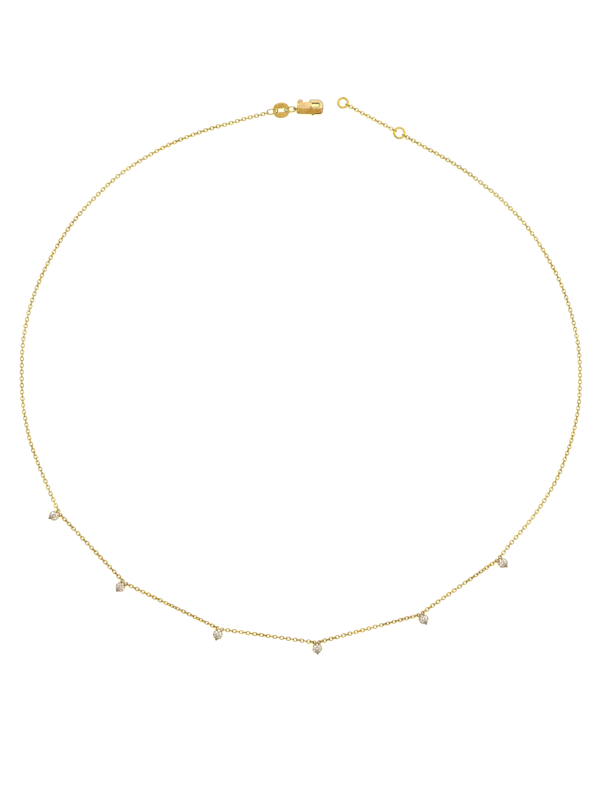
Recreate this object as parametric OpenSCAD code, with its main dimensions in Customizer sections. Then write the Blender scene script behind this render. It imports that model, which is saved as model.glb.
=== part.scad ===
// Fine gold necklace with six round diamonds, laid out open on a flat surface.
// Z is up, the surface is z = 0, and the origin is under the middle of the outline.
// The free ends and the open clasp are at +Y, and the middle stones are at -Y.
// All sizes are millimetres.

/* [Stones] */
// Girdle diameter of each round brilliant
stone_d = 2.45; // [2.2:0.05:2.6]
// Table width as a share of the girdle diameter
table_share = 0.56; // [0.5:0.01:0.62]
// Crown height as a share of the girdle diameter
crown_share = 0.15; // [0.12:0.01:0.17]
// Pavilion depth as a share of the girdle diameter
pavilion_share = 0.43; // [0.4:0.01:0.44]
// Thickness of the girdle band
girdle_t = 0.06; // [0.04:0.01:0.1]
// Height of the girdle above the surface
girdle_z = 1.42; // [1.35:0.01:1.6]

/* [Settings] */
// Clear gap between each stone and the metal round it
seat_gap = 0.04; // [0.03:0.01:0.06]
// Angle of each inner prong from the chain side of the stone
inner_prong_angle = 29; // [25:1:35]
// Thickness of a prong's post
post_d = 0.34; // [0.3:0.02:0.4]
// Diameter of an inner prong's round head
head_d = 0.5; // [0.4:0.02:0.54]
// Diameter of the outer prong where it folds over the stone
claw_d = 0.54; // [0.42:0.02:0.58]
// Diameter of the outer prong at its tip
claw_tip_d = 0.36; // [0.26:0.02:0.4]
// Wire of the two rings that join the posts
gallery_wire = 0.26; // [0.22:0.02:0.3]
// Outer diameter of each loop that the chain hooks into
loop_d = 0.95; // [0.9:0.01:1]
// Wire of those loops
loop_wire = 0.22; // [0.2:0.01:0.24]

/* [Chain] */
// Wire of a cable link
wire_d = 0.24; // [0.22:0.01:0.25]
// Width of a cable link
link_w = 1.04; // [1:0.02:1.1]
// Distance from one link's centre to the next one's
link_pitch = 0.82; // [0.76:0.01:0.86]
// Clear gap between two links that pass through each other
link_gap = 0.1; // [0.08:0.01:0.12]
// Extra length of a link that holds a wide ring
ring_link_extra = 0.15; // [0.12:0.01:0.2]

/* [Rings] */
// Outer diameter of the ring at the free end
end_ring_d = 2.9; // [2.7:0.05:3.1]
// Width of that ring's metal
end_ring_band = 0.5; // [0.44:0.02:0.54]
// Outer diameter of the ring that shortens the necklace
adjusting_ring_d = 3.05; // [2.9:0.05:3.2]
// Width of that ring's metal
adjusting_ring_band = 0.47; // [0.42:0.01:0.5]
// Thickness of both rings
ring_t = 0.36; // [0.3:0.02:0.36]

/* [Tag] */
// Length of the oval tag
tag_len = 4.07; // [3.9:0.05:4.3]
// Height of the oval tag
tag_w = 3.8; // [3.6:0.05:4]
// Thickness of the tag
tag_t = 0.32; // [0.3:0.01:0.34]
// Length of the opening in the tag
tag_hole_len = 2.66; // [2.5:0.02:2.8]
// Height of that opening at its ends
tag_hole_w = 1.36; // [1.2:0.01:1.4]
// How far the two crescents bulge into the opening
tag_bulge = 0.23; // [0.1:0.01:0.26]
// Wire of the two oval links that hold the tag
tag_link_wire = 0.28; // [0.26:0.01:0.3]
// Width of those oval links
tag_link_w = 1.68; // [1.6:0.02:1.72]
// Roll of those oval links about their length
tag_link_roll = 40; // [34:1:40]

/* [Clasp] */
// Thickness of the clasp
clasp_t = 1.6; // [1.5:0.05:1.8]
// Height of the clasp at its nose
clasp_w = 3.5; // [3.4:0.05:3.6]
// Thickness of the lever between the body's two cheeks
lever_t = 0.76; // [0.7:0.02:0.8]
// Clear gap between the lever and each cheek
lever_gap = 0.08; // [0.06:0.01:0.1]
// Diameter of the pin that the lever turns on
pin_d = 0.44; // [0.4:0.02:0.5]
// Turn of the lever from its closed place
lever_open = 0; // [0:1:15]

/* [Hidden] */

$fn = 32;
gold = [0.84, 0.68, 0.36];
gold_light = [0.9, 0.76, 0.46];
diamond_white = [0.88, 0.9, 0.92];

// Centre of each stone on the surface, and the way that its chain side faces
stones = [
    // x, y, facing
    [-61.0, -34.7, 27],
    [-44.6, -52.3, 49],
    [-20.5, -64.1, 72],
    [4.1, -67.5, 94],
    [30.4, -60.3, 120],
    [50.0, -46.4, 137]
];

// The chain lies with its upright links standing on the surface
chain_z = link_w / 2;

// Route of the long left chain, from the first stone up to the tag
left_route = [
    [-60.3, -33.0], [-61.6, -30.1], [-63.5, -25.6], [-65.3, -21.2], [-66.9, -16.7],
    [-68.0, -12.0], [-68.8, -7.2], [-69.1, -2.4], [-69.1, 2.4], [-68.9, 7.2],
    [-68.2, 12.0], [-67.1, 16.7], [-65.6, 21.3], [-63.7, 25.7], [-61.5, 30.0],
    [-59.1, 34.1], [-56.4, 38.0], [-53.3, 41.7], [-50.0, 45.1], [-46.6, 48.3],
    [-42.9, 51.2], [-39.0, 53.7], [-35.0, 56.0], [-30.8, 58.0], [-26.6, 59.7],
    [-22.3, 61.2], [-17.9, 62.4], [-13.5, 63.7], [-8.6, 64.95]
];

// Route of the long right chain, from the adjusting ring down to the last stone
right_route = [
    [25.9, 59.3], [30.2, 56.9], [34.2, 54.7], [38.1, 52.4], [41.9, 49.9],
    [45.5, 47.1], [49.1, 44.2], [52.4, 41.0], [55.6, 37.5], [58.4, 33.7],
    [60.9, 29.7], [63.2, 25.5], [65.1, 21.2], [66.7, 16.6], [67.9, 12.0],
    [68.8, 7.2], [69.2, 2.4], [69.2, -2.4], [68.9, -7.2], [68.1, -12.0],
    [66.9, -16.7], [65.3, -21.2], [63.5, -25.6], [61.1, -29.8], [58.5, -33.8],
    [55.6, -37.5], [52.5, -41.1], [49.8, -44.5]
];
tube_sides = 8;
// The flats of the tube are as far apart as a link is wide
tube_r = link_w / 2 / cos(180 / tube_sides);

// Stone proportions worked out from the girdle
stone_r = stone_d / 2;
table_r = stone_r * table_share;
table_z = girdle_z + girdle_t + stone_d * crown_share;
culet_z = girdle_z - stone_d * pavilion_share;
crown_mid_r = stone_r * 0.8;
pavilion_mid_r = stone_r * 0.22;
half_step = 22.5;
// The bezel facets and the mains are flat, which sets the heights of their side corners
crown_mid_z = girdle_z + girdle_t
    + stone_d * crown_share * (stone_r - crown_mid_r * cos(half_step)) / (stone_r - table_r);
pavilion_mid_z = culet_z + stone_d * pavilion_share * pavilion_mid_r * cos(half_step) / stone_r;

// Setting: heights and radii of the posts and rings
base_r = 0.8;
base_z = gallery_wire / 2;
gallery_r = 0.95;
post_top_r = 1.2;
post_top_z = 1.66;
claw_tip_r = 0.86;
claw_tip_z = 1.9;
head_z = 1.72;
loop_x = 0.62;
loop_y = 1.43;
bridge_y = 1.04;
yoke_y = 1.3;
yoke_x = 0.28;
// The bars that join the two loops are a little thicker than their wire
loop_bar_d = loop_wire + 0.02;
// The bent part of the claw is a little thinner than its two round ends
bend_share = 0.96;

// Where the end link's wire stands in a loop, measured from the loop's centre
loop_hook = 0.035;

// Ends of the extension, and how each ring lies
adjusting_ring_at = [24.45, 60.1];
end_ring_at = [10.5, 67.6];
// The ring clears the surface by a sliver at its low side
sliver = 0.01;
end_ring_low = ring_t / 2 + sliver;
// Clear gap between a ring's inner rim and the wire of the link that it holds
ring_link_gap = 0.12;

// The tag and the oval links that pass round its rims
tag_at = [-4.83, 65.7];
tag_z = 0.6;
tag_turn = 5;
// Radius of the two wide arcs that flatten the tag's circle into an oval
tag_flat_r = tag_len * 0.62;
tag_link_len = 2.97;
left_link_at = [-7.0, 65.4];
left_link_turn = 12;
right_link_at = [-2.61, 65.89];
right_link_turn = 6;

// The clasp: x runs to its nose, y to the side where the thumb tab is
clasp_at = [2.1, 66.5];
nose_x = 1.75;
nose_end_x = 3.5;
nose_corner_r = 1.4;
// The bar under the nose ends a little short of it
bar_top_y = -0.55;
bar_end_x = 3.38;
bar_corner_r = 0.8;
half_w = clasp_w / 2;
pivot = [-2.0, -0.3];
slot_y = [-0.05, 0.8];
slot_end_x = 2.42;
slot_r = 0.22;
arm_x = 0.5;
web_x = [-1.35, 0.55];
web_top = 1.15;
// The gate's end and the hook's tip are arcs round the pin, so that one swings past the other
gate_sweep_r = 2.85;
tip_sweep_r = gate_sweep_r + 0.1;
tip_x = 0.4;
tip_bump_at = [0.95, -1.72];
tip_bump_r = 0.3;
gate_y = [-1.7, -0.15];
heel_x = -2.1;
heel_r = 0.38;
hub_r = 0.5;
neck_x = [-2.48, -1.58];
neck_top_y = -0.1;
tongue_x = [-2.86, -1.54];
tongue_low_y = 0.45;
tab_at = [-2.2, 1.2];
tab_r = 0.66;
// The cheeks end short of the mouth, below the slot, so that a ring can pass in there
cheek_x = [-2.95, 0.65];
cheek_y = [-0.55, 0.81];
cheek_corner_r = 0.45;
mouth_x = 0.3;
cheek_t = (clasp_t - lever_t) / 2 - lever_gap;
// The tail is the part of a disc that lies left of the lever
tail_at = [-2.25, -0.6];
tail_r = 1.08;
tail_x = [-3.1, -2.64];
tail_y = [-1.5, -0.22];
eye_at = [-3.4, -0.45];
eye_z = 0.65;
eye_r = 0.52;
eye_wire = 0.25;

function on_circle(r, a, z) = [r * cos(a), r * sin(a), z];
function unit(v) = v / norm(v);
function heading(v) = atan2(v[1], v[0]);

// A point of a stone's own plan, with y to its chain side, put on the surface
function beside_stone(s, x, y) = [
    s[0] + x * sin(s[2]) + y * cos(s[2]),
    s[1] - x * cos(s[2]) + y * sin(s[2])
];

// A round brilliant: table, 8 stars, 8 bezels, 16 upper halves, girdle, 16 lower halves, 8 mains
module brilliant() {
    points = concat(
        [for (i = [0:7]) on_circle(table_r, 45 * i, table_z)],
        [for (i = [0:7]) on_circle(crown_mid_r, 45 * i + half_step, crown_mid_z)],
        [for (i = [0:15]) on_circle(stone_r, half_step * i, girdle_z + girdle_t)],
        [for (i = [0:15]) on_circle(stone_r, half_step * i, girdle_z)],
        [for (i = [0:7]) on_circle(pavilion_mid_r, 45 * i + half_step, pavilion_mid_z)],
        [[0, 0, culet_z]]
    );
    table = 0;
    crown = 8;
    upper = 16;
    lower = 32;
    pavilion = 48;
    culet = 56;
    faces = concat(
        [[for (i = [7:-1:0]) table + i]],
        [for (i = [0:7]) [table + i, table + (i + 1) % 8, crown + i]],
        [for (i = [0:7]) [table + i, crown + i, upper + 2 * i, crown + (i + 7) % 8]],
        [for (i = [0:7]) [crown + i, upper + 2 * i + 1, upper + 2 * i]],
        [for (i = [0:7]) [crown + i, upper + (2 * i + 2) % 16, upper + 2 * i + 1]],
        [for (i = [0:15]) [upper + i, upper + (i + 1) % 16, lower + (i + 1) % 16, lower + i]],
        [for (i = [0:7]) [pavilion + i, lower + 2 * i, lower + 2 * i + 1]],
        [for (i = [0:7]) [pavilion + i, lower + 2 * i + 1, lower + (2 * i + 2) % 16]],
        [for (i = [0:7]) [culet, pavilion + (i + 7) % 8, lower + 2 * i, pavilion + i]]
    );
    polyhedron(points, faces, convexity = 2);
}

module at_stone(s) {
    translate([s[0], s[1], 0])
        rotate(s[2] - 90)
            children();
}

module diamond(s) {
    color(diamond_white)
        at_stone(s)
            rotate(half_step)
                brilliant();
}

module ring_of_wire(mid_r, wire) {
    rotate_extrude()
        translate([mid_r, 0])
            circle(d = wire);
}

// The room that the stone needs, a little larger than the stone
module stone_seat() {
    g = seat_gap;
    rotate_extrude()
        polygon([
            [0, culet_z - 2 * g],
            [stone_r + g, girdle_z - g / 2],
            [stone_r + g, girdle_z + girdle_t + g / 2],
            [crown_mid_r + g, crown_mid_z + g],
            [table_r + g / 2, table_z + g],
            [0, table_z + g]
        ]);
}

// A straight round bar between two points that leans away from the centre
module leaning_bar(r1, z1, r2, z2, d1, d2) {
    run = r2 - r1;
    rise = z2 - z1;
    translate([r1, 0, z1])
        rotate([0, atan2(run, rise), 0])
            cylinder(h = norm([run, rise]), d1 = d1, d2 = d2);
}

module prong(a) {
    rotate(a) {
        leaning_bar(base_r, base_z, post_top_r, post_top_z, post_d, post_d);
        translate([post_top_r, 0, head_z])
            sphere(d = head_d);
    }
}

// The long outer prong is bent inwards over the crown
module claw(a) {
    rotate(a) {
        leaning_bar(base_r, base_z, post_top_r, post_top_z, post_d, post_d);
        translate([post_top_r, 0, post_top_z])
            sphere(d = claw_d);
        leaning_bar(
            post_top_r, post_top_z, claw_tip_r, claw_tip_z,
            claw_d * bend_share, claw_tip_d * bend_share
        );
        translate([claw_tip_r, 0, claw_tip_z])
            sphere(d = claw_tip_d);
    }
}

module bar_along_x(x, y, z, d) {
    translate([-x, y, z])
        rotate([0, 90, 0])
            cylinder(h = 2 * x, d = d);
}

// Prongs, two rings, two loops and the bars between them are soldered into one
module setting(s) {
    color(gold)
        at_stone(s) {
            difference() {
                union() {
                    translate([0, 0, base_z])
                        ring_of_wire(base_r, gallery_wire);
                    translate([0, 0, chain_z])
                        ring_of_wire(gallery_r, gallery_wire);
                    prong(90 - inner_prong_angle);
                    prong(90 + inner_prong_angle);
                    claw(-90);
                    bar_along_x(loop_x, bridge_y, chain_z, loop_bar_d);
                    bar_along_x(yoke_x, yoke_y, chain_z, loop_bar_d);
                    for (side = [-1, 1])
                        translate([side * loop_x, loop_y, chain_z])
                            ring_of_wire((loop_d - loop_wire) / 2, loop_wire);
                }
                stone_seat();
            }
        }
}

// One link with round ends and straight sides, lying flat along x
module link(len, wide, wire) {
    bend_r = (wide - wire) / 2;
    reach = (len - wide) / 2;
    for (side = [-1, 1]) {
        translate([side * reach, 0, 0])
            rotate(-90 * side)
                rotate_extrude(angle = 180)
                    translate([bend_r, 0])
                        circle(d = wire);
        translate([-reach, side * bend_r, 0])
            rotate([0, 90, 0])
                cylinder(h = 2 * reach, d = wire);
    }
}

// A straight run of links between two hooks, with an upright link at each end.
// hook_a and hook_b say how far from each hook's centre the end link's wire stands.
module chain_run(a, b, hook_a, hook_b, extra) {
    span = norm(b - a) - hook_a - hook_b - wire_d - link_gap - 2 * extra;
    count = 2 * round((span / link_pitch - 1) / 2) + 1;
    pitch = span / count;
    plain_len = ceil(100 * (pitch + 2 * wire_d + link_gap)) / 100;
    translate([a[0], a[1], chain_z])
        rotate(heading(b - a))
            for (i = [0:count - 1]) {
                is_end = i == 0 || i == count - 1;
                len = plain_len + (is_end ? extra : 0);
                start = hook_a - wire_d / 2 + pitch * i + (i > 0 ? extra : 0);
                translate([start + len / 2, 0, 0])
                    rotate([i % 2 == 0 ? 90 : 0, 0, 0])
                        link(len, link_w, wire_d);
            }
}

module chain_between(i) {
    color(gold)
        chain_run(
            beside_stone(stones[i], loop_x, loop_y),
            beside_stone(stones[i + 1], -loop_x, loop_y),
            loop_hook, loop_hook, 0
        );
}

module chain_extension() {
    color(gold)
        chain_run(
            end_ring_at, adjusting_ring_at,
            end_ring_d / 2 - end_ring_band - wire_d / 2 - ring_link_gap,
            adjusting_ring_d / 2 - adjusting_ring_band - wire_d / 2 - ring_link_gap,
            ring_link_extra
        );
}

// The room that a long chain takes up: a tube swept along its route
module chain_tube(route) {
    last = len(route) - 1;
    function along(i) = unit(route[min(i + 1, last)] - route[max(i - 1, 0)]);
    points = [
        for (i = [0:last])
            for (k = [0:tube_sides - 1])
                let (a = (k + 0.5) * 360 / tube_sides, t = along(i))
                    [
                        route[i][0] - t[1] * tube_r * cos(a),
                        route[i][1] + t[0] * tube_r * cos(a),
                        chain_z + tube_r * sin(a)
                    ]
    ];
    faces = concat(
        [[for (k = [0:tube_sides - 1]) k]],
        [[for (k = [tube_sides - 1:-1:0]) last * tube_sides + k]],
        [
            for (i = [0:last - 1])
                for (k = [0:tube_sides - 1])
                    let (n = (k + 1) % tube_sides, p = i * tube_sides, q = p + tube_sides)
                        [p + k, q + k, q + n, p + n]
        ]
    );
    color(gold)
        polyhedron(points, faces, convexity = 6);
}

// A flat ring whose rim is rounded inside and out
module banded_ring(d, band) {
    inner = d / 2 - band;
    rotate_extrude()
        union() {
            translate([inner + ring_t / 2, -ring_t / 2])
                square([band - ring_t, ring_t]);
            translate([inner + ring_t / 2, 0])
                circle(d = ring_t);
            translate([d / 2 - ring_t / 2, 0])
                circle(d = ring_t);
        }
}

module adjusting_ring() {
    color(gold)
        translate([adjusting_ring_at[0], adjusting_ring_at[1], chain_z])
            banded_ring(adjusting_ring_d, adjusting_ring_band);
}

// The free ring leans on the surface at its far side and is held up by its link
module end_ring() {
    mid_r = (end_ring_d - end_ring_band) / 2;
    lean = asin((chain_z - end_ring_low) / (2 * mid_r));
    color(gold)
        translate([end_ring_at[0], end_ring_at[1], (chain_z + end_ring_low) / 2])
            rotate(heading(adjusting_ring_at - end_ring_at))
                rotate([0, -lean, 0])
                    banded_ring(end_ring_d, end_ring_band);
}

// Oval plate with a bow-shaped opening, left bare
module tag() {
    bulge_r = (tag_hole_len * tag_hole_len / 4 + tag_bulge * tag_bulge) / (2 * tag_bulge);
    color(gold_light)
        translate([tag_at[0], tag_at[1], tag_z - tag_t / 2])
            rotate(tag_turn)
                linear_extrude(tag_t)
                    difference() {
                        // Two wide arcs flatten a circle into the oval
                        intersection() {
                            circle(d = tag_len, $fn = 64);
                            translate([0, tag_w / 2 - tag_flat_r])
                                circle(r = tag_flat_r, $fn = 64);
                            translate([0, tag_flat_r - tag_w / 2])
                                circle(r = tag_flat_r, $fn = 64);
                        }
                        difference() {
                            square([tag_hole_len, tag_hole_w], center = true);
                            for (side = [-1, 1])
                                translate([0, side * (tag_hole_w / 2 + bulge_r - tag_bulge)])
                                    circle(r = bulge_r, $fn = 96);
                        }
                    }
}

module tag_link(at, turn) {
    color(gold)
        translate([at[0], at[1], tag_z])
            rotate(turn)
                rotate([tag_link_roll, 0, 0])
                    link(tag_link_len, tag_link_w, tag_link_wire);
}

module box_plan(x, y) {
    translate([x[0], y[0]])
        square([x[1] - x[0], y[1] - y[0]]);
}

// A bar whose right end has rounded corners
module round_end(x, y, top_r, low_r) {
    box_plan([x[0], x[1] - top_r], [y[0] + low_r, y[1]]);
    box_plan([x[0], x[1] - low_r], [y[0], y[1] - top_r]);
    box_plan(x, [y[0] + low_r, y[1] - top_r]);
    intersection() {
        translate([x[1] - top_r, y[1] - top_r])
            circle(r = top_r, $fn = 96);
        box_plan([x[1] - top_r, x[1]], [y[1] - top_r, y[1]]);
    }
    intersection() {
        translate([x[1] - low_r, y[0] + low_r])
            circle(r = low_r, $fn = 64);
        box_plan([x[1] - low_r, x[1]], [y[0], y[0] + low_r]);
    }
}

module tip_plan() {
    difference() {
        union() {
            box_plan([tip_x, nose_x], [-half_w, slot_y[0]]);
            translate(tip_bump_at)
                circle(r = tip_bump_r);
        }
        translate(pivot)
            circle(r = tip_sweep_r, $fn = 96);
    }
}

module tail_plan() {
    intersection() {
        translate(tail_at)
            circle(r = tail_r, $fn = 64);
        box_plan(tail_x, tail_y);
    }
}

// Nose, upper arm and hook tip, at the clasp's full thickness
module hook_plan() {
    difference() {
        union() {
            round_end([nose_x - sliver, nose_end_x], [bar_top_y, half_w], nose_corner_r, slot_r);
            round_end([nose_x - sliver, bar_end_x], [-half_w, bar_top_y + sliver], slot_r, bar_corner_r);
            box_plan([arm_x, nose_x], [slot_y[1], half_w]);
            translate([arm_x, (slot_y[1] + half_w) / 2])
                circle(r = (half_w - slot_y[1]) / 2);
            box_plan(web_x, [slot_y[1], web_top]);
            tip_plan();
        }
        round_end([web_x[0], slot_end_x], slot_y, slot_r, slot_r);
    }
}

// The two cheeks that hold the lever between them
module cheek_plan() {
    mirror([1, 0])
        round_end([-mouth_x, -cheek_x[0]], cheek_y, cheek_corner_r, cheek_corner_r);
    box_plan([mouth_x - sliver, cheek_x[1]], [slot_y[0], cheek_y[1]]);
}

module at_clasp() {
    translate([clasp_at[0], clasp_at[1], 0])
        children();
}

module clasp_body() {
    color(gold)
        at_clasp() {
            linear_extrude(clasp_t) {
                hook_plan();
                tail_plan();
            }
            for (z = [0, clasp_t - cheek_t])
                translate([0, 0, z])
                    linear_extrude(cheek_t)
                        cheek_plan();
            translate([pivot[0], pivot[1], cheek_t / 2])
                cylinder(h = clasp_t - cheek_t, d = pin_d);
            translate([eye_at[0], eye_at[1], eye_z])
                rotate([90, 0, 0])
                    ring_of_wire(eye_r, eye_wire);
        }
}

// Thumb tab, arm and gate are one lever that turns on the pin
module lever_plan() {
    difference() {
        union() {
            translate(tab_at)
                circle(r = tab_r);
            polygon([
                [tongue_x[0], tab_at[1]], [tongue_x[0], tongue_low_y],
                [neck_x[0], neck_top_y], [neck_x[0], pivot[1]],
                [neck_x[1], pivot[1]], [tongue_x[1], tab_at[1]]
            ]);
            translate(pivot)
                circle(r = hub_r);
            box_plan([neck_x[0], heel_x], [gate_y[0] + heel_r, pivot[1]]);
            translate([heel_x, gate_y[0] + heel_r])
                circle(r = heel_r);
            intersection() {
                box_plan([heel_x, nose_x], gate_y);
                translate(pivot)
                    circle(r = gate_sweep_r, $fn = 96);
            }
        }
        translate(pivot)
            circle(d = pin_d + lever_gap);
    }
}

module clasp_lever() {
    color(gold_light)
        at_clasp()
            translate([pivot[0], pivot[1], cheek_t + lever_gap])
                rotate(lever_open)
                    translate(-pivot)
                        linear_extrude(lever_t)
                            lever_plan();
}

diamond(stones[0]);  // diamond_1
diamond(stones[1]);  // diamond_2
diamond(stones[2]);  // diamond_3
diamond(stones[3]);  // diamond_4
diamond(stones[4]);  // diamond_5
diamond(stones[5]);  // diamond_6
setting(stones[0]);  // setting_1
setting(stones[1]);  // setting_2
setting(stones[2]);  // setting_3
setting(stones[3]);  // setting_4
setting(stones[4]);  // setting_5
setting(stones[5]);  // setting_6
chain_tube(left_route);  // chain_left
chain_between(0);  // chain_1_2
chain_between(1);  // chain_2_3
chain_between(2);  // chain_3_4
chain_between(3);  // chain_4_5
chain_between(4);  // chain_5_6
chain_tube(right_route);  // chain_right
chain_extension();
adjusting_ring();
end_ring();
tag();
tag_link(left_link_at, left_link_turn);  // tag_link_left
tag_link(right_link_at, right_link_turn);  // tag_link_right
clasp_body();
clasp_lever();
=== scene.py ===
"""A fine gold necklace with six round brilliants, laid out open on a white surface.

Every piece is modelled in millimetres, in the same place as in the part's source, and is
brought to metres when it is finished. Z is up, and the surface is z = 0.
"""
import math
import random

import bmesh
import bpy
from mathutils import Matrix, Vector


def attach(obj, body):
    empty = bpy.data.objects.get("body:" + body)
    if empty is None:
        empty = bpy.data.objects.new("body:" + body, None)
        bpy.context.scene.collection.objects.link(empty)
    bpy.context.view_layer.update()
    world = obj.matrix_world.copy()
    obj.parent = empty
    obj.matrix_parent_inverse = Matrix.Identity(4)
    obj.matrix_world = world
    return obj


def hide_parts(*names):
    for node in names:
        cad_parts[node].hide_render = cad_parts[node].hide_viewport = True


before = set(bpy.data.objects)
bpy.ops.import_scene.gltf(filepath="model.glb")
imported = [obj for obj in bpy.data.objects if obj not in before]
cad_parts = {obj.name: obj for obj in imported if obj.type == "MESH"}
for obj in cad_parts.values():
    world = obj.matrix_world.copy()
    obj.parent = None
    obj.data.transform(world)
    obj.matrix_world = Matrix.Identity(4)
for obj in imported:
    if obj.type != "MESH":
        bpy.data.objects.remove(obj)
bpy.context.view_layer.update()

MM = 0.001
DICE = random.Random(41)

# Stones: x, y on the surface and the way that the chain side faces, in degrees
STONES = [
    (-61.0, -34.7, 27),
    (-44.6, -52.3, 49),
    (-20.5, -64.1, 72),
    (4.1, -67.5, 94),
    (30.4, -60.3, 120),
    (50.0, -46.4, 137),
]
# Loops of a setting, in the stone's own plan, with y to its chain side
LOOP_X = 0.62
LOOP_Y = 1.43

# Cable chain, of slimmer wire and with less play than the solids, which need clear room
WIRE = 0.22
LINK_WIDTH = 1.04
LINK_PITCH = 0.82
LINK_GAP = 0.03
LINK_SIDES = 16
WIRE_SIDES = 6
CHAIN_Z = LINK_WIDTH / 2
# From a loop's middle to the chain's end, and what is longer and looser at a jump ring
LOOP_HOOK = 0.035
RING_LINK_EXTRA = 0.15
RING_LINK_GAP = 0.12
# Degrees that a link turns aside and rolls by chance
TURN_PLAY = 2.5
ROLL_PLAY = 9
# Slow sway of the roll along a chain: degrees, links to a radian, and how late it may start
ROLL_SWAY = 12
SWAY_LINKS = 9
SWAY_START = 6.28
# Share of that play in each kind of chain
SHORT_CHAIN_PLAY = 1.5
LONG_CHAIN_PLAY = 0.4
EXTENSION_PLAY = 0.6

# Rings, tag and clasp
ADJUSTING_RING = (24.45, 60.1)
ADJUSTING_RING_D = 3.05
ADJUSTING_RING_BAND = 0.47
ADJUSTING_RING_SEAM = 60
END_RING = (10.5, 67.6)
END_RING_D = 2.9
END_RING_BAND = 0.5
END_RING_SEAM = 130
RING_T = 0.36
TAG_LINK_LEN = 2.97
TAG_LINK_WIDTH = 1.68
TAG_LINK_WIRE = 0.28
TAG_LINK_ROLL = 40
TAG_LINK_Z = 0.6
LEFT_TAG_LINK = (-7.0, 65.4, 12)
RIGHT_TAG_LINK = (-2.61, 65.89, 6)

LEFT_ROUTE = [
    (-60.3, -33.0), (-61.6, -30.1), (-63.5, -25.6), (-65.3, -21.2), (-66.9, -16.7),
    (-68.0, -12.0), (-68.8, -7.2), (-69.1, -2.4), (-69.1, 2.4), (-68.9, 7.2),
    (-68.2, 12.0), (-67.1, 16.7), (-65.6, 21.3), (-63.7, 25.7), (-61.5, 30.0),
    (-59.1, 34.1), (-56.4, 38.0), (-53.3, 41.7), (-50.0, 45.1), (-46.6, 48.3),
    (-42.9, 51.2), (-39.0, 53.7), (-35.0, 56.0), (-30.8, 58.0), (-26.6, 59.7),
    (-22.3, 61.2), (-17.9, 62.4), (-13.5, 63.7), (-8.6, 64.95),
]
RIGHT_ROUTE = [
    (25.9, 59.3), (30.2, 56.9), (34.2, 54.7), (38.1, 52.4), (41.9, 49.9),
    (45.5, 47.1), (49.1, 44.2), (52.4, 41.0), (55.6, 37.5), (58.4, 33.7),
    (60.9, 29.7), (63.2, 25.5), (65.1, 21.2), (66.7, 16.6), (67.9, 12.0),
    (68.8, 7.2), (69.2, 2.4), (69.2, -2.4), (68.9, -7.2), (68.1, -12.0),
    (66.9, -16.7), (65.3, -21.2), (63.5, -25.6), (61.1, -29.8), (58.5, -33.8),
    (55.6, -37.5), (52.5, -41.1), (49.8, -44.5),
]


# Small helpers for working by hand

def pick_object(obj):
    bpy.ops.object.select_all(action="DESELECT")
    obj.select_set(True)
    bpy.context.view_layer.objects.active = obj


def edit(obj):
    pick_object(obj)
    bpy.ops.object.mode_set(mode="EDIT")


def done():
    bpy.ops.object.mode_set(mode="OBJECT")


def pick_points(obj, wanted):
    """In edit mode, selects the points whose place passes the test."""
    bpy.ops.mesh.select_mode(type="VERT")
    bpy.ops.mesh.select_all(action="DESELECT")
    mesh = bmesh.from_edit_mesh(obj.data)
    for point in mesh.verts:
        point.select_set(wanted(point.co))
    mesh.select_flush_mode()
    bmesh.update_edit_mesh(obj.data)


def copy_of(obj, place):
    """A copy with its own mesh, moved to its place."""
    twin = obj.copy()
    twin.data = obj.data.copy()
    twin.data.transform(place)
    bpy.context.scene.collection.objects.link(twin)
    return twin


def join(objs, name):
    bpy.ops.object.select_all(action="DESELECT")
    for obj in objs:
        obj.select_set(True)
    bpy.context.view_layer.objects.active = objs[0]
    bpy.ops.object.join()
    objs[0].name = name
    objs[0].data.name = name
    return objs[0]


def smooth(obj, angle):
    pick_object(obj)
    bpy.ops.object.shade_smooth_by_angle(angle=math.radians(angle))


def turned(x, y, z, heading, roll=0):
    return (
        Matrix.Translation((x, y, z))
        @ Matrix.Rotation(math.radians(heading), 4, "Z")
        @ Matrix.Rotation(math.radians(roll), 4, "X")
    )


def finish(obj, material):
    obj.data.materials.clear()
    obj.data.materials.append(material)
    return obj


def settle(obj, body, material, slot, *nodes):
    """Brings a finished piece to metres and sets it in the frame in place of its nodes."""
    obj.data.transform(Matrix.Scale(MM, 4))
    if material:
        finish(obj, material)
    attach(obj, body)
    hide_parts(*nodes)
    return obj


# Materials

def new_material(name):
    material = bpy.data.materials.new(name)
    material.use_nodes = True
    tree = material.node_tree
    shader = tree.nodes["Principled BSDF"]
    place = tree.nodes.new("ShaderNodeTexCoord").outputs["Object"]
    return material, tree, shader, place


def noise(tree, place, scale, detail=2.0):
    node = tree.nodes.new("ShaderNodeTexNoise")
    node.inputs["Scale"].default_value = scale
    node.inputs["Detail"].default_value = detail
    tree.links.new(place, node.inputs["Vector"])
    return node.outputs["Fac"]


def ramp(tree, factor, stops):
    node = tree.nodes.new("ShaderNodeValToRGB")
    marks = node.color_ramp.elements
    while len(marks) < len(stops):
        marks.new(0.5)
    for mark, (where, colour) in zip(marks, stops):
        mark.position = where
        mark.color = (*colour, 1)
    tree.links.new(factor, node.inputs["Fac"])
    return node.outputs["Color"]


def to_range(tree, factor, span, low, high):
    """Spreads a factor's span over the range from low to high."""
    node = tree.nodes.new("ShaderNodeMapRange")
    node.inputs["From Min"].default_value = span[0]
    node.inputs["From Max"].default_value = span[1]
    node.inputs["To Min"].default_value = low
    node.inputs["To Max"].default_value = high
    tree.links.new(factor, node.inputs["Value"])
    return node.outputs["Result"]


def bump(tree, height, distance):
    node = tree.nodes.new("ShaderNodeBump")
    node.inputs["Distance"].default_value = distance
    tree.links.new(height, node.inputs["Height"])
    return node.outputs["Normal"]


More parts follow.
